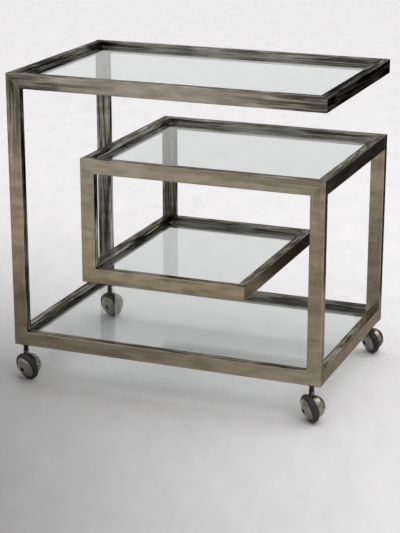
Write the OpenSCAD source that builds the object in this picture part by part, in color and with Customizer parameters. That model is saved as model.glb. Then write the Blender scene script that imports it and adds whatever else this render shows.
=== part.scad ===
// Bar cart on wheels, laid out like a Greek key seen from the front.
// Two flat frames of rectangular tube, one in front and one behind, are joined by cross rails at both
// ends of four shelves. Each shelf carries a glass pane, and four tilted-wheel ball casters carry the cart.
// Millimetres, +Z up, +X to the right, front at -Y. The origin is on the floor, under the middle of the
// footprint that the cart covers with its casters parked.

/* [Frame] */
// Length of the frame, left to right
cart_length = 720; // [660:1:900]
// Width of the frame, front to back
cart_width = 470; // [380:1:600]
// Height of the top shelf's rim above the frame's underside
frame_height = 616; // [560:1:760]
// Height of the middle shelf's rim above the frame's underside
middle_height = 444; // [360:1:500]
// Height of the lower shelf's rim above the frame's underside
lower_height = 200; // [150:1:260]
// Distance from the left end to where the middle and lower shelves start
inner_offset = 172; // [120:1:240]
// Distance from the left end to the free end of the lower shelf
lower_reach = 548; // [420:1:580]

/* [Tube] */
// Face of the tube, as seen from the front
tube_face = 32; // [26:1:40]
// Depth of the tube, front to back, which is also the width of a cross rail
tube_depth = 20; // [18:1:30]
// Wall thickness of the tube
tube_wall = 1.5; // [1:0.1:1.8]
// Corner radius of the tube's outside
tube_corner = 1.5; // [0.8:0.1:2.5]

/* [Glass] */
// Thickness of a pane
glass_thickness = 6; // [4:0.5:10]
// Depth of a pane's top face below the shelf's rim
glass_drop = 11; // [4:0.5:14]
// Gap left between a pane's edge and the rails around it
glass_gap = 1; // [0.5:0.1:3]
// Diameter of the soft disc under each corner of a pane
pad_diameter = 8; // [5:0.5:9]
// Thickness of the soft disc
pad_thickness = 1; // [0.5:0.1:3]
// Width of the ledge strips that carry a pane
ledge_width = 10; // [10:0.5:16]
// Thickness of the ledge strips
ledge_thickness = 3; // [2:0.5:5]

/* [Caster] */
// Outside diameter of the tyre
wheel_diameter = 63.5; // [50:0.5:80]
// Width of the tyre across its tread
tyre_width = 16; // [12:0.5:18]
// Thickness of the rubber, from the rim to the tread
tyre_thickness = 6.8; // [6:0.1:8]
// How much larger the radius of the tread's crown is than half the tyre's width
crown_flat = 1; // [0.5:0.5:3]
// Lean of the wheel: its top leans towards the hubcap side
wheel_tilt = 15; // [8:1:20]
// Sideways distance from the stem's axis to the wheel's middle, along its rolling direction
caster_trail = 14; // [10:0.5:16]
// Clear height between the tyre's top and the frame
tyre_clearance = 16; // [14:0.5:24]
// Thickness of the hood's shell
hood_wall = 2; // [1.5:0.1:3]
// Distance from the wheel's middle plane back to the centre of the hood's sphere
hood_setback = 8; // [7:0.5:10]
// Height of the hubcap's dome
hubcap_rise = 9; // [6:0.5:12]
// Thickness of the hubcap's sheet
hubcap_wall = 1.2; // [0.8:0.1:2]

/* [Pins] */
// Diameter of the stem inside its socket
stem_diameter = 10; // [8:0.5:10.5]
// Length of the stem inside its socket
stem_length = 22; // [18:0.5:24]
// Distance from the end of the frame to the stem's axis
stem_inset = 22.5; // [20:0.5:26]
// Diameter of the neck between the socket and the hood
neck_diameter = 11; // [10:0.5:12]
// Wall thickness of the socket
socket_wall = 2; // [1.5:0.1:2]
// Diameter of the socket's flange under the frame
flange_diameter = 17; // [16:0.5:18]
// Thickness of the flange
flange_thickness = 1.5; // [1:0.1:2.5]
// Diameter of the wheel's axle
axle_diameter = 6; // [5:0.5:8]
// Clearance all round a pin that turns in its hole
running_fit = 0.05; // [0.02:0.01:0.1]
// Gap between two faces that turn against each other
thrust_gap = 0.3; // [0.2:0.1:0.6]

/* [Parking] */
// Heading of the hubcap of the front left caster, in degrees from +X
heading_front_left = 249; // [0:1:360]
// Heading of the hubcap of the front right caster
heading_front_right = 224; // [0:1:360]
// Heading of the hubcap of the back left caster
heading_back_left = 250; // [0:1:360]
// Heading of the hubcap of the back right caster
heading_back_right = 230; // [0:1:360]
// How far the frame's centre lies to the left of the footprint's centre
footprint_shift_x = 6.5; // [-20:0.5:20]
// How far the frame's centre lies behind the footprint's centre
footprint_shift_y = 12; // [-20:0.5:20]

/* [Hidden] */
$fn = 72;
over = 1; // how far a cutter runs past the face that it cuts

nickel = [0.56, 0.51, 0.45];
clear_glass = [0.78, 0.86, 0.84, 0.45];
soft_clear = [0.9, 0.9, 0.88, 0.8];
dark_steel = [0.22, 0.21, 0.2];
chrome = [0.72, 0.72, 0.7];
rubber = [0.1, 0.1, 0.1];

// A shelf is its name, the places of its left and right ends, the height of its rim, whether its rails'
// outer side is the upper one, and whether its right end is free, with no post under or over it.
SHELVES = [
    ["top", 0, cart_length, frame_height, true, true],
    ["middle", inner_offset, cart_length, middle_height, true, false],
    ["lower", inner_offset, lower_reach, lower_height, false, true],
    ["bottom", 0, cart_length, tube_face, false, false],
];
// A post is its name, the place of its outer side, its lowest and highest points and whether its outer
// side faces right.
POSTS = [
    ["left", 0, 0, frame_height, false],
    ["right", cart_length, 0, middle_height, true],
    ["inner", inner_offset, lower_height - tube_face, middle_height, false],
];
// A caster is its name, the place of its stem and the heading of its hubcap.
stem_row = tube_depth / 2;
CASTERS = [
    ["front_left", [stem_inset, stem_row], heading_front_left],
    ["front_right", [cart_length - stem_inset, stem_row], heading_front_right],
    ["back_left", [stem_inset, cart_width - stem_row], heading_back_left],
    ["back_right", [cart_length - stem_inset, cart_width - stem_row], heading_back_right],
];
SIDES = ["front", "back"];
CASTER_PARTS = ["socket", "stem", "hood", "axle", "wheel", "tyre", "hubcap"];

NODES = concat(
    [for (side = SIDES, post = POSTS) str(side, "_", post[0], "_post")],
    [for (shelf = SHELVES, place = ["front", "back", "left", "right"]) str(shelf[0], "_", place, "_rail")],
    [for (shelf = SHELVES, thing = ["glass", "ledges"]) str(shelf[0], "_", thing)],
    ["glass_pads"],
    [for (caster = CASTERS, thing = CASTER_PARTS) str(caster[0], "_", thing)]
);
node = "all";

// Glass
pane_margin = tube_depth + glass_gap;
pane_underside = glass_drop + glass_thickness;
ledge_top = pane_underside + pad_thickness;
ledge_break = 1; // gap between two ledge strips at a corner

// Wheel
rim_radius = wheel_diameter / 2 - tyre_thickness;
rim_width = tyre_width - 1;
rim_thickness = 3;
web_thickness = 4;
crown_radius = tyre_width / 2 + crown_flat;
crown_centre = wheel_diameter / 2 - crown_radius;
axle_radius = axle_diameter / 2;
hub_radius = axle_radius + 5;
hub_back = tyre_width / 2 + 1;
hub_front = tyre_width / 2 + 1.5;
axle_head_radius = axle_radius + 2;
axle_head_thickness = 2;
hubcap_radius = rim_radius - 0.8;
hubcap_sphere = (hubcap_radius * hubcap_radius + hubcap_rise * hubcap_rise) / (2 * hubcap_rise);
hubcap_eye = axle_head_radius + 1;
wheel_middle = crown_centre * cos(wheel_tilt) + crown_radius; // height of the wheel's centre over the floor
caster_height = 2 * wheel_middle + tyre_clearance;

// Hood and stem
hood_radius = rim_radius + 1;
hood_lip = tyre_width / 2 + 1; // distance from the wheel's middle plane to the hood's edge
boss_radius = axle_radius + 4;
neck_radius = neck_diameter / 2;
collar_radius = neck_radius + 1;
collar_rise = 5; // height of the collar above the hood's top
collar_depth = 8; // how far the collar reaches down past the hood's top
tenon_radius = stem_diameter / 2 - 1;
hood_centre_drop = caster_height - wheel_middle - hood_setback * sin(wheel_tilt);
hood_top_drop = hood_centre_drop - hood_radius;
// The wheel's middle stands off the stem just far enough that the collar clears the tyre.
wheel_offset = collar_radius
    + (hood_lip - (hood_radius - collar_depth + 3) * sin(wheel_tilt)) / cos(wheel_tilt);
stem_radius = stem_diameter / 2;
socket_bore = stem_radius + running_fit;
socket_radius = socket_bore + socket_wall;
socket_length = stem_length + 2;
neck_top = flange_thickness + thrust_gap;

// Moves the cart from its front left corner, with the frame's underside at 0, to its place over the origin.
module in_place()
    translate([-cart_length / 2 - footprint_shift_x, -cart_width / 2 + footprint_shift_y, caster_height])
        children();

module extrude_along_y(start, depth)
    translate([0, start + depth, 0]) rotate([90, 0, 0]) linear_extrude(depth) children();

// The tube's cross-section, with its depth along X and its face along Y.
module tube_section() difference() {
    union() {
        translate([tube_corner, 0]) square([tube_depth - 2 * tube_corner, tube_face]);
        translate([0, tube_corner]) square([tube_depth, tube_face - 2 * tube_corner]);
        for (x = [tube_corner, tube_depth - tube_corner], y = [tube_corner, tube_face - tube_corner])
            translate([x, y]) circle(r = tube_corner);
    }
    translate([tube_wall, tube_wall]) square([tube_depth - 2 * tube_wall, tube_face - 2 * tube_wall]);
}

// What a 45 degree mitre takes off a side bar, beyond the line from its outer corner inwards.
module mitre_waste() {
    far = tube_face + over;
    extrude_along_y(-over, tube_depth + 2 * over) polygon([[-over, -over], [far, far], [-over, far]]);
}

// A tube of one side frame. It runs along X with its outer side at Z = 0.
module side_bar(length, mitre_end) difference() {
    rotate([90, 0, 90]) linear_extrude(length) tube_section();
    mitre_waste();
    if (mitre_end) translate([length, 0, 0]) mirror([1, 0, 0]) mitre_waste();
}

// Stands a bar on its end with its outer side to the left, or to the right.
module upright(faces_right) mirror([faces_right ? 1 : 0, 0, 0]) mirror([1, 0, -1]) children();

// Puts a front part at the front, or its mirror image at the back.
module on_side(side) {
    if (side == "front") children();
    else translate([0, cart_width, 0]) mirror([0, 1, 0]) children();
}

// What a 45 degree plan mitre takes off beyond the line from a corner inwards.
module plan_waste(corner_x, beyond) {
    far = tube_depth + over;
    translate([corner_x, 0, -over]) linear_extrude(frame_height + 2 * over)
        polygon([[over, -over], [-far, far], beyond]);
}

module post(p, side) color(nickel) in_place() on_side(side)
    translate([p[1], 0, p[2]]) upright(p[4]) side_bar(p[3] - p[2], true);

module socket_holes() for (x = [stem_inset, cart_length - stem_inset])
    translate([x, stem_row, -over]) cylinder(r = socket_radius, h = tube_wall + 2 * over);

module long_rail(s, side) color(nickel) in_place() on_side(side) difference() {
    translate([s[1], 0, s[4] ? s[3] : s[3] - tube_face])
        mirror([0, 0, s[4] ? 1 : 0]) side_bar(s[2] - s[1], !s[5]);
    if (s[5]) plan_waste(s[2], [over, tube_depth + over]);
    if (s[0] == "bottom") socket_holes();
}

module cross_tube(x, from_y, to_y, base)
    translate([x, 0, base]) extrude_along_y(from_y, to_y - from_y) tube_section();

module left_rail(s) color(nickel) in_place()
    cross_tube(s[1], tube_depth, cart_width - tube_depth, s[3] - tube_face);

// A right rail butts between the side frames, and at a free end it is mitred into the long rails.
module right_rail(s) color(nickel) in_place() {
    base = s[3] - tube_face;
    if (s[5]) difference() {
        cross_tube(s[2] - tube_depth, 0, cart_width, base);
        for (side = SIDES) on_side(side) plan_waste(s[2], [-tube_depth - over, -over]);
    }
    else cross_tube(s[2] - tube_depth, tube_depth, cart_width - tube_depth, base);
}

module glass(s) color(clear_glass) in_place()
    translate([s[1] + pane_margin, pane_margin, s[3] - pane_underside])
        cube([s[2] - s[1] - 2 * pane_margin, cart_width - 2 * pane_margin, glass_thickness]);

// Four strips under the pane's edges, each welded to the rail behind it.
module ledges(s) color(nickel) in_place() translate([0, 0, s[3] - ledge_top - ledge_thickness]) {
    inside_left = s[1] + tube_depth;
    inside_right = s[2] - tube_depth;
    for (y = [tube_depth, cart_width - tube_depth - ledge_width])
        translate([inside_left, y, 0]) cube([inside_right - inside_left, ledge_width, ledge_thickness]);
    side_start = tube_depth + ledge_width + ledge_break;
    for (x = [inside_left, inside_right - ledge_width])
        translate([x, side_start, 0]) cube([ledge_width, cart_width - 2 * side_start, ledge_thickness]);
}

module glass_pads() color(soft_clear) in_place() for (s = SHELVES) {
    inset = tube_depth + ledge_width / 2;
    for (x = [s[1] + inset, s[2] - inset], y = [inset, cart_width - inset])
        translate([x, y, s[3] - ledge_top]) cylinder(d = pad_diameter, h = pad_thickness);
}

// Caster parts are drawn with the stem on the Z axis, the frame's underside at 0 and the hubcap
// towards +X; those on the axle, with the wheel's middle at 0 and the hubcap towards +Z.
module at_stem(c) in_place() translate([c[1][0], c[1][1], 0]) rotate([0, 0, c[2]]) children();

module at_wheel() translate([wheel_offset, caster_trail, wheel_middle - caster_height])
    rotate([0, 90 + wheel_tilt, 0]) children();

module tube_between(low, high, outer, inner) translate([0, 0, low]) difference() {
    cylinder(r = outer, h = high - low);
    translate([0, 0, -over]) cylinder(r = inner, h = high - low + 2 * over);
}

module socket() color(dark_steel) difference() {
    union() {
        cylinder(r = socket_radius, h = socket_length);
        translate([0, 0, -flange_thickness]) cylinder(d = flange_diameter, h = flange_thickness);
    }
    translate([0, 0, -flange_thickness - over])
        cylinder(r = socket_bore, h = stem_length + flange_thickness + over + thrust_gap);
}

module stem() color(dark_steel) {
    translate([0, 0, -neck_top - over]) cylinder(r = stem_radius, h = stem_length + neck_top + over);
    collar_top = collar_rise - hood_top_drop;
    translate([0, 0, collar_top]) cylinder(r = neck_radius, h = -neck_top - collar_top);
    translate([0, 0, -hood_top_drop - collar_depth])
        cylinder(r = tenon_radius, h = collar_rise + collar_depth + over);
}

module wheel_space() at_wheel() translate([0, 0, -hood_lip]) cylinder(r = wheel_diameter, h = wheel_diameter);

// A half ball with an eye boss for the axle inside it and a collar for the stem on top.
module hood() color(chrome) difference() {
    union() {
        at_wheel() {
            difference() {
                translate([0, 0, -hood_setback]) sphere(r = hood_radius);
                translate([0, 0, -hood_setback]) sphere(r = hood_radius - hood_wall);
            }
            intersection() {
                translate([0, 0, -hood_setback]) sphere(r = hood_radius);
                translate([0, 0, -hood_setback - hood_radius])
                    cylinder(r = boss_radius, h = hood_setback + hood_radius - hub_back - thrust_gap);
            }
        }
        translate([0, 0, -hood_top_drop - collar_depth]) cylinder(r = collar_radius, h = collar_rise + collar_depth);
    }
    wheel_space();
    at_wheel() translate([0, 0, -hood_setback - hood_radius + hood_wall])
        cylinder(r = axle_radius, h = hood_setback + hood_radius);
    translate([0, 0, -hood_top_drop - collar_depth - over])
        cylinder(r = tenon_radius, h = collar_rise + collar_depth + 2 * over);
}

module axle() color(dark_steel) at_wheel() {
    back = -hood_setback - hood_radius + hood_wall;
    head = hub_front + thrust_gap;
    translate([0, 0, back]) cylinder(r = axle_radius, h = head + over - back);
    translate([0, 0, head]) cylinder(r = axle_head_radius, h = axle_head_thickness);
}

module wheel() color(chrome) at_wheel() {
    bore = axle_radius + running_fit;
    tube_between(-hub_back, hub_front, hub_radius, bore);
    tube_between(-web_thickness / 2, web_thickness / 2, rim_radius, bore);
    tube_between(-rim_width / 2, rim_width / 2, rim_radius, rim_radius - rim_thickness);
}

module tyre() color(rubber) at_wheel() rotate_extrude() intersection() {
    translate([rim_radius, -tyre_width / 2]) square([tyre_thickness + over, tyre_width]);
    translate([crown_centre, 0]) circle(r = crown_radius);
}

module hubcap() color(chrome) at_wheel() translate([0, 0, rim_width / 2]) difference() {
    centre = hubcap_rise - hubcap_sphere;
    translate([0, 0, centre]) sphere(r = hubcap_sphere);
    translate([0, 0, centre]) sphere(r = hubcap_sphere - hubcap_wall);
    translate([0, 0, -2 * hubcap_sphere]) cylinder(r = hubcap_sphere + over, h = 2 * hubcap_sphere);
    cylinder(r = hubcap_eye, h = hubcap_rise + over);
}

module caster_part(part) {
    if (part == "socket") socket();
    if (part == "stem") stem();
    if (part == "hood") hood();
    if (part == "axle") axle();
    if (part == "wheel") wheel();
    if (part == "tyre") tyre();
    if (part == "hubcap") hubcap();
}

function wanted(name) = node == "all" || node == name;

for (side = SIDES, p = POSTS) if (wanted(str(side, "_", p[0], "_post"))) post(p, side);
for (s = SHELVES, side = SIDES) if (wanted(str(s[0], "_", side, "_rail"))) long_rail(s, side);
for (s = SHELVES) if (wanted(str(s[0], "_left_rail"))) left_rail(s);
for (s = SHELVES) if (wanted(str(s[0], "_right_rail"))) right_rail(s);
for (s = SHELVES) if (wanted(str(s[0], "_glass"))) glass(s);
for (s = SHELVES) if (wanted(str(s[0], "_ledges"))) ledges(s);
if (wanted("glass_pads")) glass_pads();
for (c = CASTERS, part = CASTER_PARTS) if (wanted(str(c[0], "_", part))) at_stem(c) caster_part(part);
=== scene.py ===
# %% [markdown]
# # A bar cart on wheels
#
# The cart is a rectangular steel tube bent round corners like a Greek key: four shelves at four heights,
# all drawn with one band of satin metal. Each shelf holds a pane of clear glass, and the whole thing rolls
# on four little chrome ball casters.
#
# Every rigid piece is already exact in the CAD model, so nothing here moves or reshapes one. This file
# gives each piece the finish that it has on the real cart, softens the cut edges of the glass, and sets
# up a floor, some soft studio light and a camera. It is a good first lesson, because bare metal and clear
# glass are almost nothing but what they reflect.

# %% Load the frame
import math

import bpy
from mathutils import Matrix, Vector


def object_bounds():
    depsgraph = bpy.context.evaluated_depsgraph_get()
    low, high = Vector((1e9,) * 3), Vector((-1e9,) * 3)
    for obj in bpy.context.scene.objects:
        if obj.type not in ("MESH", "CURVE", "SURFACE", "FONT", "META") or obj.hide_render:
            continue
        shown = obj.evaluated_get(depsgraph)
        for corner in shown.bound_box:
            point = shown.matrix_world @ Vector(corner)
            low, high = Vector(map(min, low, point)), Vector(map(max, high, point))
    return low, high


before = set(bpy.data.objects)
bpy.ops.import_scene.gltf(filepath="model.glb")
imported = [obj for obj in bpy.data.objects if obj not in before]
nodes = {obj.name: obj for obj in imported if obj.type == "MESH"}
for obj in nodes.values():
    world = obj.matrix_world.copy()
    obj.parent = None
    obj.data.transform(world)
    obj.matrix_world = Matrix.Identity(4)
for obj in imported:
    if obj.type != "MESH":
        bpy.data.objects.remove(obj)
cad_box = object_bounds()
print("loaded", len(nodes), "pieces; the cart is", [round(v, 3) for v in cad_box[1] - cad_box[0]], "m")

# %% [markdown]
# ## Where the camera stands
#
# A product shot of furniture is taken from well back with a long lens, so that upright posts stay upright.
# The camera could be placed by hand, but a direction, a distance and a point to look at say more about the
# picture. Here it stands to the right of the front, a little above the top shelf, and looks slightly below
# the middle of the cart, which leaves some floor under the wheels.

# %% Camera
CAMERA_AZIMUTH = math.radians(21.67)
CAMERA_ELEVATION = math.radians(17.42)
CAMERA_DISTANCE = 3.596
CAMERA_LENS = 108.2
LOOK_LEFT = 0.006
LOOK_DOWN = 0.104

towards_camera = Vector(
    (
        math.sin(CAMERA_AZIMUTH) * math.cos(CAMERA_ELEVATION),
        -math.cos(CAMERA_AZIMUTH) * math.cos(CAMERA_ELEVATION),
        math.sin(CAMERA_ELEVATION),
    )
)
camera_right = Vector((math.cos(CAMERA_AZIMUTH), math.sin(CAMERA_AZIMUTH), 0))
camera_up = towards_camera.cross(camera_right)
look_at = (cad_box[0] + cad_box[1]) / 2 - camera_right * LOOK_LEFT - camera_up * LOOK_DOWN

camera = bpy.data.objects.new("camera", bpy.data.cameras.new("camera"))
camera.data.lens = CAMERA_LENS
camera.location = look_at + towards_camera * CAMERA_DISTANCE
camera.rotation_mode = "QUATERNION"
camera.rotation_quaternion = (-towards_camera).to_track_quat("-Z", "Y")
bpy.context.collection.objects.link(camera)
bpy.context.scene.camera = camera
print("camera at", [round(v, 3) for v in camera.location])

# %% [markdown]
# ## Three helpers for materials
#
# A material in Blender is a small graph of nodes. Writing one out takes three kinds of line: make the node,
# set its values, join it to the others. The first function below does all three at once: whatever is given
# for a socket is joined if it is another node's output, and set if it is a plain value. The second turns a
# colour that was picked on a screen (sRGB) into the linear numbers that light adds up in. The third starts
# an empty material.


# %% Helpers
def add(tree, kind, sockets, **properties):
    """Adds a node, sets or joins its sockets, and returns its outputs."""
    made = tree.nodes.new("ShaderNode" + kind)
    for name, value in properties.items():
        setattr(made, name, value)
    for socket, value in sockets.items():
        if isinstance(value, bpy.types.NodeSocket):
            tree.links.new(value, made.inputs[socket])
        else:
            made.inputs[socket].default_value = value
    return made.outputs


def linear(hex_colour):
    """Turns an sRGB colour such as #9C8E7C into linear red, green, blue and alpha."""
    shares = [int(hex_colour[i : i + 2], 16) / 255 for i in (1, 3, 5)]
    return [s / 12.92 if s <= 0.04045 else ((s + 0.055) / 1.055) ** 2.4 for s in shares] + [1.0]


def new_material(name):
    """An empty material and its node tree."""
    material = bpy.data.materials.new(name)
    material.use_nodes = True
    material.node_tree.nodes.clear()
    return material, material.node_tree


MM = 0.001
MIX_FIRST = 6  # the Mix node has a set of sockets for each kind of value; these are its colours
MIX_SECOND = 7
MIX_RESULT = 2
print("a mid grey screen colour is", round(linear("#808080")[0], 3), "in linear light")

# %% [markdown]
# ## The floor and the backdrop
#
# The cart stands on pale paper. The paper has almost no shine and only a faint cloudiness, so that the eye
# goes to the metal. It is one large sheet, big enough to fill the picture to its top edge: a curved sweep
# would be the photographer's way, but a flat one is enough from this height. The clouds are drawn longer
# along the camera's line of sight, because the flat angle squeezes them that way.

# %% Floor
FLOOR_HALF = 30.0
PAPER_CLOUD = 60 * MM
CLOUD_STRETCH = 2.8
SHEET_CORNERS = [(-1, -1), (1, -1), (1, 1), (-1, 1)]

floor_mesh = bpy.data.meshes.new("paper_floor")
floor_corners = [(x * FLOOR_HALF, y * FLOOR_HALF, 0) for x, y in SHEET_CORNERS]
floor_mesh.from_pydata(floor_corners, [], [(0, 1, 2, 3)])
floor = bpy.data.objects.new("paper_floor", floor_mesh)
bpy.context.collection.objects.link(floor)

paper, tree = new_material("matt_paper")
place = add(tree, "TexCoord", {})["Object"]
cloud_size = (PAPER_CLOUD, PAPER_CLOUD * CLOUD_STRETCH, PAPER_CLOUD)
line_of_sight = {"Vector": place, "Rotation": (0, 0, CAMERA_AZIMUTH), "Scale": cloud_size}
stretched = add(tree, "Mapping", line_of_sight, vector_type="TEXTURE")[0]
cloud = add(tree, "TexNoise", {"Vector": stretched, "Scale": 1.0, "Detail": 6.0, "Roughness": 0.65})["Fac"]
tint = add(
    tree,
    "Mix",
    {"Factor": cloud, MIX_FIRST: linear("#DBDADB"), MIX_SECOND: linear("#F1EFF0")},
    data_type="RGBA",
)[MIX_RESULT]
matt = {"Base Color": tint, "Roughness": 0.9, "Specular IOR Level": 0.1}
surface = add(tree, "BsdfPrincipled", matt)[0]
add(tree, "OutputMaterial", {"Surface": surface})
floor_mesh.materials.append(paper)
print("floor", 2 * FLOOR_HALF, "m across")

# %% [markdown]
# ## Studio light
#
# Satin metal shows the room more than it shows itself, so the room is planned with it in mind. The sky is
# a dome whose brightness depends only on the height above the horizon. It is dim at the horizon and
# brightens to a pale band a little above it, which the panes and the upper faces mirror at a flat angle.
# Above the band it dims again, and the ceiling is bright, which is what lights the floor. Three wide soft
# boxes add gentle shape.

# %% World and lights
DOME_GAIN = 2.0
DOME_STOPS = [  # the sine of the angle above the horizon, and the brightness there before the gain
    (0.00, 0.20),
    (0.08, 0.22),
    (0.12, 0.40),
    (0.18, 0.37),
    (0.25, 0.27),
    (0.35, 0.22),
    (0.50, 0.34),
    (1.00, 0.84),
]

world = bpy.data.worlds.new("studio_dome")
world.use_nodes = True
world.node_tree.nodes.clear()
bpy.context.scene.world = world
tree = world.node_tree
direction = add(tree, "TexCoord", {})["Generated"]
height = add(tree, "SeparateXYZ", {"Vector": direction})["Z"]
bands = add(tree, "ValToRGB", {"Fac": height})["Color"]
stops = bands.node.color_ramp.elements
for sine, _ in DOME_STOPS[1:-1]:
    stops.new(sine)
for stop, (sine, brightness) in zip(stops, DOME_STOPS):
    stop.position = sine
    stop.color = [brightness] * 3 + [1.0]
sky = add(tree, "Background", {"Color": bands, "Strength": DOME_GAIN})[0]
add(tree, "OutputWorld", {"Surface": sky})


def soft_box(name, where, size, power):
    """A square area light that points at the middle of the cart."""
    light = bpy.data.lights.new(name, "AREA")
    light.size = size
    light.energy = power
    box = bpy.data.objects.new(name, light)
    box.location = where
    box.rotation_mode = "QUATERNION"
    box.rotation_quaternion = (look_at - Vector(where)).to_track_quat("-Z", "Y")
    bpy.context.collection.objects.link(box)


SOFT_BOXES = [  # a name, where it hangs in metres, how wide it is and its power in watts
    ("key_box", (1.9, 1.2, 2.7), 1.8, 10.0),
    ("fill_box", (-2.2, -2.0, 2.9), 2.2, 4.0),
    ("front_box", (2.0, -1.6, 2.2), 1.2, 5.0),
]
for box_settings in SOFT_BOXES:
    soft_box(*box_settings)
bpy.context.scene.view_settings.view_transform = "Standard"
print("a dome of", len(stops), "stops and", len(SOFT_BOXES), "soft boxes")

# %% [markdown]
# ## Flags
#
# A photographer of metal hangs cards just outside the picture. Without dark ones, called flags, every face
# mirrors something pale and the tube looks like painted plaster. One leans behind the right end, where the
# right-hand faces of the tubes mirror it, and a lighter one lies in front of it for the lower rails. A
# glowing card lies in front and lifts the faces that look that way. These three are seen by reflections
# alone. The last flag floats at the front left and keeps some of the dome's light off the floor, so that
# the light falls off towards that corner.


# %% Flags
def card(name, corners, surface_kind, settings):
    """A four-cornered card with one plain shader. The camera never sees it."""
    mesh = bpy.data.meshes.new(name)
    mesh.from_pydata(corners, [], [(0, 1, 2, 3)])
    made = bpy.data.objects.new(name, mesh)
    made.visible_camera = False
    made.visible_transmission = False
    bpy.context.collection.objects.link(made)
    cloth, tree = new_material(name + "_cloth")
    surface = add(tree, surface_kind, settings)[0]
    add(tree, "OutputMaterial", {"Surface": surface})
    mesh.materials.append(cloth)
    return made


right_flag = card(
    "right_flag",
    [(0.05, 0.62, 0.004), (0.95, 0.62, 0.004), (1.05, 1.3, 0.62), (0.05, 1.3, 0.62)],
    "BsdfDiffuse",
    {"Color": linear("#2A2725")},
)
side_flag = card(
    "side_flag",
    [(0.37, -0.15, 0.003), (0.8, -0.15, 0.003), (0.8, 0.62, 0.003), (0.37, 0.62, 0.003)],
    "BsdfDiffuse",
    {"Color": linear("#A0968B")},
)
glow_card = card(
    "glow_card",
    [(-0.95, -1.95, 0.004), (0.0, -1.95, 0.004), (0.0, -0.85, 0.004), (-0.95, -0.85, 0.004)],
    "Emission",
    {"Color": linear("#FFFAF4"), "Strength": 0.75},
)
mirrored_cards = [right_flag, side_flag, glow_card]
for mirrored in mirrored_cards:
    mirrored.visible_diffuse = False
    mirrored.visible_shadow = False

left_flag = card(
    "left_flag",
    [(-1.9, -0.2, 0.45), (-0.3, -2.4, 0.45), (0.55, -1.1, 0.75), (-1.2, 0.5, 0.75)],
    "BsdfDiffuse",
    {"Color": linear("#151515")},
)
left_flag.visible_glossy = False
print(len(mirrored_cards), "cards for reflections, one for shade, all out of the camera's sight")

# %% [markdown]
# ## Antique nickel on steel tube
#
# The tube is steel, plated with nickel and rubbed down by hand, then left to tone to a warm grey-brown.
# Three things tell the eye so: fine scratches that run along the tube, soft cloudy patches where the
# toning is deeper, and a surface that is not quite flat, so that reflections break up. Paint with a metal
# colour would show none of them. Scratches follow the tube, and so there is one material for each
# direction that a tube runs in.
#
# All these marks start as clouds of noise, drawn out along the tube. Polishing scratches are about 0.1 mm
# apart, too fine for the picture, so they are drawn 2 mm apart. A drawn tube is out of flat by some
# hundredths of a millimetre, and its ripples are drawn deeper, so that they bend what the tube mirrors.
# Stains, streaks and dashes have their real sizes; the dashes carry painted highlights, painted dark
# reflections and a broken line of painted shadow.

# %% Clouds for the nickel
CLOUDS = {  # size along the tube and across it, detail, roughness, and a shift that sets it apart
    "scratches": (140 * MM, 2 * MM, 2.0, 0.6, 0.0),
    "stains": (110 * MM, 110 * MM, 5.0, 0.7, 3.0),
    "streaks": (160 * MM, 6 * MM, 3.0, 0.6, 7.0),
    "dashes": (50 * MM, 7 * MM, 2.0, 0.6, 11.0),
    "ripples": (60 * MM, 28 * MM, 1.5, 0.5, 0.0),
}
PATCH = 45 * MM  # about what a hand with a cloth rubs at once
STROKE_TURN = (0, math.radians(35), 0)
STROKE_SCALE = (0.6 / PATCH, 1 / PATCH, 2.2 / PATCH)  # longer than wide, and slanting
SCRATCH_DEPTH = 0.02 * MM
RIPPLE_DEPTH = 0.9 * MM
print(len(CLOUDS), "clouds along the tube, and polishing strokes", PATCH / MM, "mm wide")

# %% [markdown]
# ## Where each mark lies
#
# Age doesn't fall evenly on a piece of furniture, and some of these marks are painted light and shade. The
# faces that look into the cart, except at its right end, are painted grey, with dark streaks, as shade.
# Hands take hold of the ends of the top shelf, so it has streaks there too, and is darkest at its corners.
# The upper faces carry dashes of painted highlight and painted dark reflection, and a broken dark line of
# painted shadow where they meet the glass. Edges rub bright.
#
# Each of these is a share between 0 and 1: some measure of the place, such as its height, taken from
# where the mark starts to where it is full. Two shares multiplied say "both", and the larger of two says
# "either". The coats of colour then go on in turn, each as thick as its share.

# %% Marks and coats
SHARES = {  # what it is read from, where it starts, where it is full, and how much that is
    "pale": ("patches", 0.4, 0.6, 1.0),
    "stained": ("stains", 0.5, 0.72, 0.55),
    "scratched": ("scratches", 0.3, 0.7, 0.3),
    "many_streaks": ("streaks", 0.46, 0.54, 0.85),
    "few_streaks": ("streaks", 0.6, 0.7, 0.4),
    # dark dashes of painted reflection on the upper faces
    "dark_reflection_dashes": ("dashes", 0.5, 0.56, 0.55),
    # bright dashes of painted highlight on the upper faces
    "highlight_dashes": ("dashes", 0.38, 0.33, 0.3),
    # the broken dark line along the glass is painted shadow
    "broken_line": ("dashes", 0.38, 0.42, 0.95),
    "smudges": ("patches", 0.32, 0.5, 0.85),
    "inwards": ("outwards", 0.01, -0.01, 1.0),
    # everywhere short of the right end
    "short_of_right_end": ("x", 0.322, 0.318, 1.0),
    "upwards": ("up", 0.6, 0.9, 1.0),
    "grip_reach": ("from_middle", 0.10, 0.28, 1.0),
    "grip_height": ("z", 0.40, 0.66, 1.0),
    "grey_height": ("z", 0.40, 0.66, 0.6),
    "corner_reach": ("from_middle", 0.24, 0.35, 1.0),
    "corner_height": ("z", 0.52, 0.67, 1.0),
    "at_glass": ("leaning", -0.004, -0.015, 1.0),
    "edge": ("agreement", 0.98, 0.8, 0.6),
}
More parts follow.
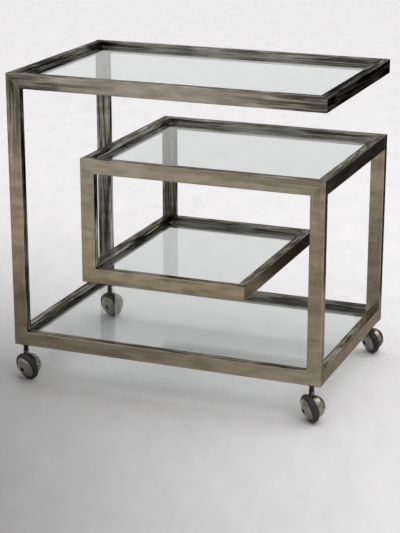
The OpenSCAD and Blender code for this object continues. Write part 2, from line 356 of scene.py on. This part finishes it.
COMBINED_SHARES = [  # the new share, how it is made, and the two that it is made of
    # faces that look into the cart, short of its right end, where grey tone and dark streaks are painted
    # shade
    ("inner", "MULTIPLY", "inwards", "short_of_right_end"),
    ("grey", "MAXIMUM", "inner", "grey_height"),
    ("corner", "MULTIPLY", "corner_reach", "corner_height"),
    ("handled", "MULTIPLY", "smudges", "corner"),
    ("grip", "MULTIPLY", "grip_reach", "grip_height"),
    ("shade_or_grip", "MAXIMUM", "inner", "grip"),
    ("shade_and_grip_streaks", "MULTIPLY", "many_streaks", "shade_or_grip"),
    ("streaks_and_shade", "MAXIMUM", "shade_and_grip_streaks", "few_streaks"),
    # painted dark reflections on the upper faces
    ("painted_dark_reflections", "MULTIPLY", "dark_reflection_dashes", "upwards"),
    # painted highlights on the upper faces
    ("painted_highlights", "MULTIPLY", "highlight_dashes", "upwards"),
    # painted shadow: a broken dark line on the upper faces where they meet the glass
    ("grime_line", "MULTIPLY", "at_glass", "broken_line"),
    ("painted_shadow_line", "MULTIPLY", "grime_line", "upwards"),
    ("worn", "MULTIPLY", "edge", "pale"),
    # streaks, painted shade and painted dark reflections
    ("shade_streaks_and_dark_reflections", "MAXIMUM", "streaks_and_shade", "painted_dark_reflections"),
    # all of the above and the painted shadow line, which darken the tint at a flat angle
    ("painted_dark_and_streaks", "MAXIMUM", "shade_streaks_and_dark_reflections", "painted_shadow_line"),
]
WARM_METAL = ("#988A72", "#B1A38D")
# the grey, painted as shade on the faces that look into the cart, and laid on towards the top
GREY_METAL = ("#87847B", "#A9A69C")
COATS = [
    ("stained", "#7C6F5C"),
    ("handled", "#45433E"),
    ("scratched", "#8C8B7C"),
    # streaks, and on the faces that look into the cart, painted shade
    ("streaks_and_shade", "#33322D"),
    # painted dark reflection
    ("painted_dark_reflections", "#35332E"),
    # painted highlight
    ("painted_highlights", "#E6E0D4"),
    # painted shadow along the glass
    ("painted_shadow_line", "#24231F"),
    ("worn", "#C6BBA8"),
]
print(len(COATS), "coats from", len(SHARES), "shares and", len(COMBINED_SHARES), "combined ones")

# %% [markdown]
# ## Reading the surface
#
# A material can ask where on the cart it is and which way its face is turned. A face looks inwards where
# its normal points back towards the upright axis of the cart. An edge is found by rounding the normal over
# a small reach, because the rounded normal differs from the true one only near an edge. Over a wider reach
# the rounded normal also says on which side the edge lies, because it leans that way.

# %% What the nickel reads
EDGE_REACH = 2 * MM
# how far from the glass the painted shadow line reaches
SHADOW_LINE_REACH = 9 * MM
BEVEL_SAMPLES = 4
LEVEL_ONLY = (1.0, 1.0, 0.0)


def read_surface(tree, run, true_normal):
    """The clouds, the place on the cart and the turn of the face, by name."""
    place = add(tree, "TexCoord", {})["Object"]
    measure = {}
    for name, (along, across, detail, roughness, shift) in CLOUDS.items():
        scale = [1 / across] * 3
        scale[run] = 1 / along
        drawn_out = add(tree, "Mapping", {"Vector": place, "Location": [shift] * 3, "Scale": scale})[0]
        cloud = {"Vector": drawn_out, "Scale": 1.0, "Detail": detail, "Roughness": roughness}
        measure[name] = add(tree, "TexNoise", cloud)[0]
    strokes = add(tree, "Mapping", {"Vector": place, "Rotation": STROKE_TURN, "Scale": STROKE_SCALE})[0]
    measure["patches"] = add(tree, "TexNoise", {"Vector": strokes, "Scale": 1.0, "Detail": 4.0})[0]

    axes = add(tree, "SeparateXYZ", {"Vector": place})
    measure["x"] = axes["X"]
    measure["z"] = axes["Z"]
    measure["from_middle"] = add(tree, "Math", {0: axes["X"]}, operation="ABSOLUTE")[0]
    measure["up"] = add(tree, "SeparateXYZ", {"Vector": true_normal})["Z"]

    from_axis = add(tree, "VectorMath", {0: place, 1: LEVEL_ONLY}, operation="MULTIPLY")[0]
    near_edge = add(tree, "Bevel", {"Radius": EDGE_REACH}, samples=BEVEL_SAMPLES)[0]
    near_glass = add(tree, "Bevel", {"Radius": SHADOW_LINE_REACH}, samples=BEVEL_SAMPLES)[0]
    compared = [
        ("outwards", true_normal, from_axis),
        ("leaning", near_glass, from_axis),
        ("agreement", true_normal, near_edge),
    ]
    for name, first, second in compared:
        measure[name] = add(tree, "VectorMath", {0: first, 1: second}, operation="DOT_PRODUCT")["Value"]
    return measure


# the second number is how far the painted shadow line along the glass reaches
print("edges rub bright over", EDGE_REACH / MM, "mm, and grime reaches", SHADOW_LINE_REACH / MM, "mm")

# %% [markdown]
# ## Laying on the coats
#
# The bare metal comes first, warm, or grey towards the top and on the faces that look into the cart, where
# the grey is painted shade; each coat goes over what is there. Seen at a flat angle, clean metal mirrors
# everything, but streaks still soak light up, and the painted shade and dark reflections must stay dark.
# The specular tint of a metal is its colour at a flat angle, so it is darkened wherever these lie.

# %% Shares and coats
FLAT_CLEAN = "#FFFFFF"
# the tint at a flat angle under the streaks, the painted dark reflections and the painted shade
FLAT_DARKENED = "#4A4843"


def find_shares(tree, measure):
    """How thick each mark lies, by name."""
    share = {}
    for name, (source, start, full, most) in SHARES.items():
        ramp = {"Value": measure[source], "From Min": start, "From Max": full, "To Max": most}
        share[name] = add(tree, "MapRange", ramp)[0]
    for name, operation, first, second in COMBINED_SHARES:
        share[name] = add(tree, "Math", {0: share[first], 1: share[second]}, operation=operation)[0]
    return share


def lay_coats(tree, share):
    """The colour of the metal with its coats and painted shade, and its tint at a flat angle."""
    metals = []
    for deep, pale in (WARM_METAL, GREY_METAL):
        toning = {"Factor": share["pale"], MIX_FIRST: linear(deep), MIX_SECOND: linear(pale)}
        metals.append(add(tree, "Mix", toning, data_type="RGBA")[MIX_RESULT])
    greying = {"Factor": share["grey"], MIX_FIRST: metals[0], MIX_SECOND: metals[1]}
    colour = add(tree, "Mix", greying, data_type="RGBA")[MIX_RESULT]
    for name, shade in COATS:
        coat = {"Factor": share[name], MIX_FIRST: colour, MIX_SECOND: linear(shade)}
        colour = add(tree, "Mix", coat, data_type="RGBA")[MIX_RESULT]
    darkening = {"Factor": share["painted_dark_and_streaks"], MIX_FIRST: linear(FLAT_CLEAN), MIX_SECOND: linear(FLAT_DARKENED)}
    flat_tint = add(tree, "Mix", darkening, data_type="RGBA")[MIX_RESULT]
    return colour, flat_tint


print("the metal starts from", len(WARM_METAL + GREY_METAL), "tones")

# %% [markdown]
# ## The nickel itself
#
# Scratches and stains make the metal duller as well as changing its colour. Ripples and scratches also bend
# the light, so they raise the surface a little, the wide ripples first and the scratches on top of them.

# %% Antique nickel
PLAIN_DULLNESS = 0.14
SCRATCHED_DULLNESS = 0.16
STAINED_DULLNESS = 0.1


def antique_nickel(run):
    """Nickelled tube whose scratches run along axis 0, 1 or 2."""
    material, tree = new_material("antique_nickel_along_" + "xyz"[run])
    true_normal = add(tree, "NewGeometry", {})["Normal"]
    measure = read_surface(tree, run, true_normal)
    share = find_shares(tree, measure)
    colour, flat_tint = lay_coats(tree, share)

    scratching = {0: measure["scratches"], 1: SCRATCHED_DULLNESS, 2: PLAIN_DULLNESS}
    dullness = add(tree, "Math", scratching, operation="MULTIPLY_ADD")[0]
    staining = {0: share["stained"], 1: STAINED_DULLNESS, 2: dullness}
    roughness = add(tree, "Math", staining, operation="MULTIPLY_ADD")[0]

    normal = true_normal
    for name, depth in (("ripples", RIPPLE_DEPTH), ("scratches", SCRATCH_DEPTH)):
        relief = {"Height": measure[name], "Distance": depth, "Strength": 1.0, "Normal": normal}
        normal = add(tree, "Bump", relief)[0]

    surface = add(
        tree,
        "BsdfPrincipled",
        {
            "Base Color": colour,
            "Metallic": 1.0,
            "Roughness": roughness,
            "Specular Tint": flat_tint,
            "Normal": normal,
        },
    )[0]
    add(tree, "OutputMaterial", {"Surface": surface})
    return material


nickel = [antique_nickel(run) for run in range(3)]
print("nickel in", len(nickel), "directions")

# %% [markdown]
# ## Clear float glass
#
# The panes are 6 mm float glass with ground edges. Float glass is clear through its thickness and green
# along it, because a little iron in the melt drinks red light: a real absorbing volume gives both from
# one number. The faces are fire polished and carry almost no texture, only the light dust and wipe marks
# of a glass shelf, which show as a slight change in gloss.

# %% Float glass
WIPE_MARK = 60 * MM
GLASS_IOR = 1.52
GLASS_DRINKS = 3.0  # per metre: about 1 % of red light is lost in 6 mm

float_glass, tree = new_material("float_glass")
place = add(tree, "TexCoord", {})["Object"]
wipes = add(tree, "TexNoise", {"Vector": place, "Scale": 1 / WIPE_MARK, "Detail": 3.0})["Fac"]
wiping = {"Value": wipes, "From Min": 0.45, "From Max": 0.75, "To Min": 0.0, "To Max": 0.03}
gloss = add(tree, "MapRange", wiping)[0]
surface = add(
    tree,
    "BsdfPrincipled",
    {
        "Base Color": linear("#F7FAF9"),
        "Roughness": gloss,
        "IOR": GLASS_IOR,
        "Transmission Weight": 1.0,
    },
)[0]
green = add(tree, "VolumeAbsorption", {"Color": linear("#9FD8C4"), "Density": GLASS_DRINKS})[0]
add(tree, "OutputMaterial", {"Surface": surface, "Volume": green})
print("glass of index", GLASS_IOR)

# %% [markdown]
# ## Clear vinyl pads
#
# Under each corner of a pane sits a soft disc that keeps glass off steel. It is cast vinyl: clear and a
# little cloudy. Its bubbles are about 0.2 mm wide, drawn at 1.5 mm so that they show.

# %% Vinyl
VINYL_BUBBLE = 1.5 * MM
VINYL_IOR = 1.54

clear_vinyl, tree = new_material("clear_vinyl")
place = add(tree, "TexCoord", {})["Object"]
bubbles = add(tree, "TexNoise", {"Vector": place, "Scale": 1 / VINYL_BUBBLE, "Detail": 2.0})["Fac"]
cloudiness = add(tree, "MapRange", {"Value": bubbles, "To Min": 0.2, "To Max": 0.5})[0]
surface = add(
    tree,
    "BsdfPrincipled",
    {
        "Base Color": linear("#F1F1EC"),
        "Roughness": cloudiness,
        "IOR": VINYL_IOR,
        "Transmission Weight": 0.8,
    },
)[0]
add(tree, "OutputMaterial", {"Surface": surface})
print("vinyl of index", VINYL_IOR)

# %% [markdown]
# ## Chrome plate
#
# The hood, the wheel and its domed cap are pressed steel under chromium. New chromium is a cool, nearly
# white mirror; this has greyed with age. Handling leaves faint smears that change its gloss and its grey a
# little, and a pressed dome has slight ripples, which bend the reflected horizon. Real ripples are some
# hundredths of a millimetre deep. They are drawn deeper, so that they show on a dome this small.

# %% Chrome plate
SMEAR = 12 * MM
DOME_RIPPLE = 11 * MM
DOME_RIPPLE_HEIGHT = 0.35 * MM

chrome_plate, tree = new_material("chrome_plate")
place = add(tree, "TexCoord", {})["Object"]
smears = add(tree, "TexNoise", {"Vector": place, "Scale": 1 / SMEAR, "Detail": 4.0})["Fac"]
smearing = {"Value": smears, "From Min": 0.35, "From Max": 0.7, "To Min": 0.05, "To Max": 0.16}
gloss = add(tree, "MapRange", smearing)[0]
haze = add(
    tree,
    "Mix",
    {"Factor": smears, MIX_FIRST: linear("#9A978F"), MIX_SECOND: linear("#85827A")},
    data_type="RGBA",
)[MIX_RESULT]
dents = add(tree, "TexNoise", {"Vector": place, "Scale": 1 / DOME_RIPPLE, "Detail": 1.0})["Fac"]
normal = add(tree, "Bump", {"Height": dents, "Distance": DOME_RIPPLE_HEIGHT, "Strength": 1.0})[0]
surface = add(
    tree,
    "BsdfPrincipled",
    {"Base Color": haze, "Metallic": 1.0, "Roughness": gloss, "Normal": normal},
)[0]
add(tree, "OutputMaterial", {"Surface": surface})
print("chrome with smears", SMEAR / MM, "mm wide")

# %% [markdown]
# ## Blackened steel
#
# The caster's stem, its axle and the socket that it turns in are plain steel, blacked in a hot bath and
# oiled. The black is a thin oxide, so grey metal shows through where it is rubbed. The rubbed spots are 1
# to 2 mm wide, drawn at 4 mm so that they show.

# %% Blackened steel
RUBBED_SPOT = 4 * MM
RUBBED_DEPTH = 0.05 * MM

blackened_steel, tree = new_material("blackened_steel")
place = add(tree, "TexCoord", {})["Object"]
speckle = {"Vector": place, "Scale": 1 / RUBBED_SPOT, "Detail": 4.0, "Roughness": 0.65}
spots = add(tree, "TexNoise", speckle)["Fac"]
rubbed_share = add(tree, "MapRange", {"Value": spots, "From Min": 0.5, "From Max": 0.75})[0]
colour = add(
    tree,
    "Mix",
    {"Factor": rubbed_share, MIX_FIRST: linear("#34312E"), MIX_SECOND: linear("#6A655E")},
    data_type="RGBA",
)[MIX_RESULT]
dullness = add(tree, "MapRange", {"Value": spots, "To Min": 0.5, "To Max": 0.28})[0]
normal = add(tree, "Bump", {"Height": spots, "Distance": RUBBED_DEPTH, "Strength": 1.0})[0]
surface = add(
    tree,
    "BsdfPrincipled",
    {"Base Color": colour, "Metallic": 1.0, "Roughness": dullness, "Normal": normal},
)[0]
add(tree, "OutputMaterial", {"Surface": surface})
print("black oxide rubbed in spots of", RUBBED_SPOT / MM, "mm")

# %% [markdown]
# ## Moulded rubber
#
# The tyre is black rubber, moulded and then worn dull by the floor. Dust lodges in its grain and greys
# it slightly. Moulded rubber has a grain of about 0.3 mm, drawn here at 0.8 mm so that it shows.

# %% Moulded rubber
RUBBER_GRAIN = 0.8 * MM
DUST_PATCH = 10 * MM
GRAIN_DEPTH = 0.08 * MM

moulded_rubber, tree = new_material("moulded_rubber")
place = add(tree, "TexCoord", {})["Object"]
grain = add(tree, "TexNoise", {"Vector": place, "Scale": 1 / RUBBER_GRAIN, "Detail": 2.0})["Fac"]
dust = add(tree, "TexNoise", {"Vector": place, "Scale": 1 / DUST_PATCH, "Detail": 4.0})["Fac"]
dust_share = add(tree, "MapRange", {"Value": dust, "From Min": 0.45, "From Max": 0.8, "To Max": 0.6})[0]
colour = add(
    tree,
    "Mix",
    {"Factor": dust_share, MIX_FIRST: linear("#191817"), MIX_SECOND: linear("#3A3733")},
    data_type="RGBA",
)[MIX_RESULT]
dullness = add(tree, "MapRange", {"Value": dust, "To Min": 0.45, "To Max": 0.75})[0]
normal = add(tree, "Bump", {"Height": grain, "Distance": GRAIN_DEPTH, "Strength": 1.0})[0]
surface = add(
    tree,
    "BsdfPrincipled",
    {"Base Color": colour, "Roughness": dullness, "Normal": normal},
)[0]
add(tree, "OutputMaterial", {"Surface": surface})
print("rubber with a grain drawn", RUBBER_GRAIN / MM, "mm wide")

# %% [markdown]
# ## Dressing the pieces
#
# The frame's pieces are named for what they are, so a name says which finish a piece takes. Long rails
# run left to right, posts run up, and the rails at the ends run front to back.

# %% Give each piece its finish
FINISHES = [
    ("_post", nickel[2]),
    ("_front_rail", nickel[0]),
    ("_back_rail", nickel[0]),
    ("_left_rail", nickel[1]),
    ("_right_rail", nickel[1]),
    ("_ledges", nickel[0]),
    ("_glass", float_glass),
    ("glass_pads", clear_vinyl),
    ("_hood", chrome_plate),
    ("_wheel", chrome_plate),
    ("_hubcap", chrome_plate),
    ("_tyre", moulded_rubber),
    ("_socket", blackened_steel),
    ("_stem", blackened_steel),
    ("_axle", blackened_steel),
]
for name, piece in nodes.items():
    finish = next(material for ending, material in FINISHES if name.endswith(ending))
    for slot in piece.material_slots:
        slot.material = finish
print("dressed", len(nodes), "pieces in", len({m.name for _, m in FINISHES}), "finishes")

# %% [markdown]
# ## Ground edges on the glass
#
# A pane's edge is ground to a small flat after cutting, and that flat catches a bright line of light. The
# bevel is a modifier, so the pane itself stays the exact box that the CAD made. The imported box has
# its corners split for shading; a weld joins them first, or the bevel would have no edges to work on.

# %% Ground edges
GROUND_EDGE = 0.8 * MM
SAME_CORNER = 0.01 * MM

panes = [piece for name, piece in nodes.items() if name.endswith("_glass")]
for pane in panes:
    pane.modifiers.new("join_corners", "WELD").merge_threshold = SAME_CORNER
    grinding = pane.modifiers.new("ground_edge", "BEVEL")
    grinding.width = GROUND_EDGE
    grinding.segments = 2
    grinding.limit_method = "ANGLE"
    pane.visible_shadow = False  # light passes a pane almost whole, and a traced shadow would be solid
print("ground the edges of", len(panes), "panes")
